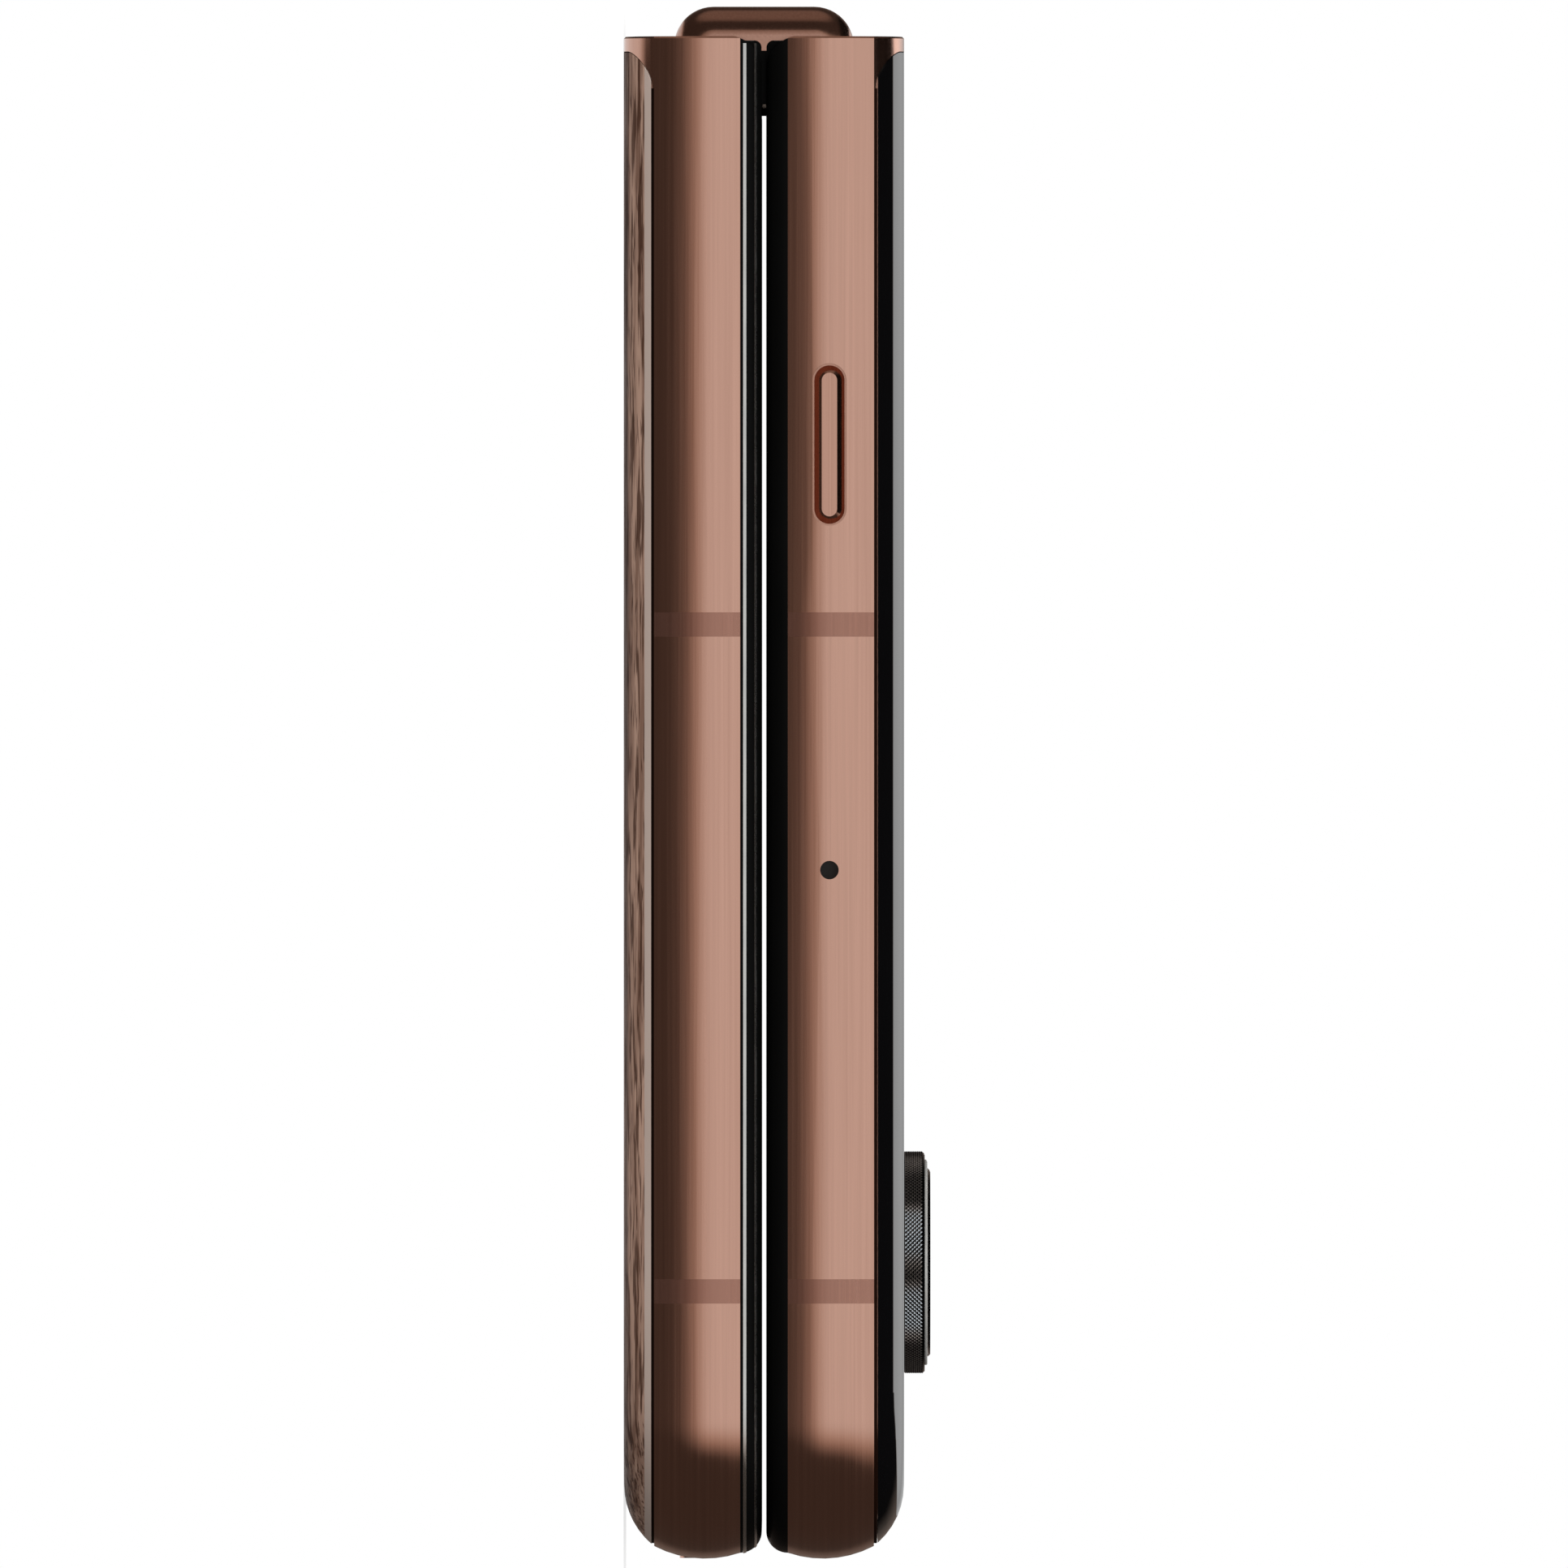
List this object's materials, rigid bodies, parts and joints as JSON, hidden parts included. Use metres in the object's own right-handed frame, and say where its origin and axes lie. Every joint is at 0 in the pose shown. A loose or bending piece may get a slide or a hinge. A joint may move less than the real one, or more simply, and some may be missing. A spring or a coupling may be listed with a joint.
{
  "type": "folding phone",
  "caption": "Clamshell folding phone, closed: wood-veneer back, black cover display with raised knurled camera rings, brushed bronze frame and a rounded hinge spine.",
  "frame": {"origin": "middle of the closed phone's footprint, on the back that it lies on", "axes": "+Z out of the cover display, +Y towards the hinge spine, +X towards the side with the power and volume keys"},
  "size_m": [0.0742, 0.0882, 0.0175],
  "materials": {
    "bronze_metal": "lengthwise brushed, brown anodised",
    "band_plastic": "moulded, a shade browner than the frame",
    "wood_skin": "open-grained walnut-like veneer, oiled",
    "shell_plastic": "pale taupe moulded edge",
    "adhesive": "dull black adhesive",
    "bezel_rubber": "satin black",
    "inner_display": "dark glossy display film",
    "battery": "black laminate pouch",
    "copper": "enamelled copper",
    "ferrite": "dark grey sheet",
    "steel": "stamped steel",
    "hinge_steel": "fine machined steel",
    "screw_steel": "dark plated steel",
    "spine_metal": "fine bead-blasted, brown anodised",
    "cap_plastic": "black moulded",
    "board": "solder-masked board",
    "module_plastic": "black moulded module",
    "black_glass": "polished black-backed glass",
    "ring_metal": "black anodised with a knurled side",
    "lens_glass": "coated lens window",
    "flash_plastic": "frosted diffuser",
    "key_metal": "polished brown anodised"
  },
  "bodies": {
    "base_half": {"base_frame": "bronze_metal", "base_antenna_inserts": "band_plastic", "back_cover_veneer": "wood_skin", "back_cover_carrier": "shell_plastic", "back_cover_seal": "adhesive", "base_bezel": "bezel_rubber", "base_display": "inner_display", "base_battery": "battery", "charging_coil": "copper", "coil_ferrite": "ferrite", "usb_socket": "steel", "usb_board": "board", "loudspeaker": "module_plastic", "vibration_motor": "steel", "base_microphone": "module_plastic", "base_wing_brackets": "hinge_steel", "base_sync_sectors": "hinge_steel", "base_screws": "screw_steel"},
    "sim_tray": {"sim_tray": "bronze_metal"},
    "spine": {"spine_cover": "spine_metal", "hinge_blocks": "hinge_steel", "hinge_screws": "screw_steel", "hinge_end_caps": "cap_plastic", "gear_pins": "screw_steel", "display_fold": "inner_display"},
    "sync_gear_base": {"sync_gear_base": "hinge_steel"},
    "sync_gear_cover": {"sync_gear_cover": "hinge_steel"},
    "cover_half": {"cover_frame": "bronze_metal", "cover_antenna_inserts": "band_plastic", "cover_glass": "black_glass", "cover_glass_seal": "adhesive", "outer_display": "inner_display", "lens_ring_main": "ring_metal", "lens_ring_wide": "ring_metal", "lens_glass_main": "lens_glass", "lens_glass_wide": "lens_glass", "camera_module_main": "module_plastic", "camera_module_wide": "module_plastic", "flash_lens": "flash_plastic", "cover_bezel": "bezel_rubber", "cover_display": "inner_display", "front_camera": "module_plastic", "main_board": "board", "board_shields": "steel", "cover_battery": "battery", "earpiece": "module_plastic", "cover_microphone": "module_plastic", "cover_wing_brackets": "hinge_steel", "cover_sync_sectors": "hinge_steel", "cover_screws": "screw_steel", "key_switches": "steel"},
    "assist_key": {"assist_key": "key_metal"},
    "power_key": {"power_key": "key_metal"},
    "volume_key": {"volume_key": "key_metal"}
  },
  "joints": [
    {"name": "base_hinge", "type": "hinge", "parent": "base_half", "child": "spine", "pos_m": [0, 0.0403, 0.0058], "axis": [-1, 0, 0], "range_deg": [0, 90]},
    {"name": "cover_hinge", "type": "hinge", "parent": "spine", "child": "cover_half", "pos_m": [0, 0.0403, 0.0101], "axis": [-1, 0, 0], "range_deg": [0, 90], "deforming": ["display_fold"]},
    {"name": "sync_gear_base_turn", "type": "hinge", "parent": "spine", "child": "sync_gear_base", "pos_m": [0, 0.04191, 0.00715], "axis": [-1, 0, 0], "range_deg": [0, 146.25]},
    {"name": "sync_gear_cover_turn", "type": "hinge", "parent": "spine", "child": "sync_gear_cover", "pos_m": [0, 0.04191, 0.00875], "axis": [-1, 0, 0], "range_deg": [-146.25, 0]},
    {"name": "tray_slide", "type": "slide", "parent": "base_half", "child": "sim_tray", "axis": [0, -1, 0], "range_m": [0, 0.021]},
    {"name": "assist_key_press", "type": "slide", "parent": "cover_half", "child": "assist_key", "axis": [1, 0, 0], "range_m": [0, 0.00025], "stiffness_N_per_m": 300},
    {"name": "power_key_press", "type": "slide", "parent": "cover_half", "child": "power_key", "axis": [-1, 0, 0], "range_m": [0, 0.00025], "stiffness_N_per_m": 300},
    {"name": "volume_key_press", "type": "slide", "parent": "cover_half", "child": "volume_key", "axis": [-1, 0, 0], "range_m": [0, 0.00025], "stiffness_N_per_m": 300}
  ],
  "couplings": [
    {"joint": "cover_hinge", "follows": "base_hinge", "ratio": 1},
    {"joint": "sync_gear_base_turn", "follows": "base_hinge", "ratio": 1.625},
    {"joint": "sync_gear_cover_turn", "follows": "base_hinge", "ratio": -1.625}
  ]
}
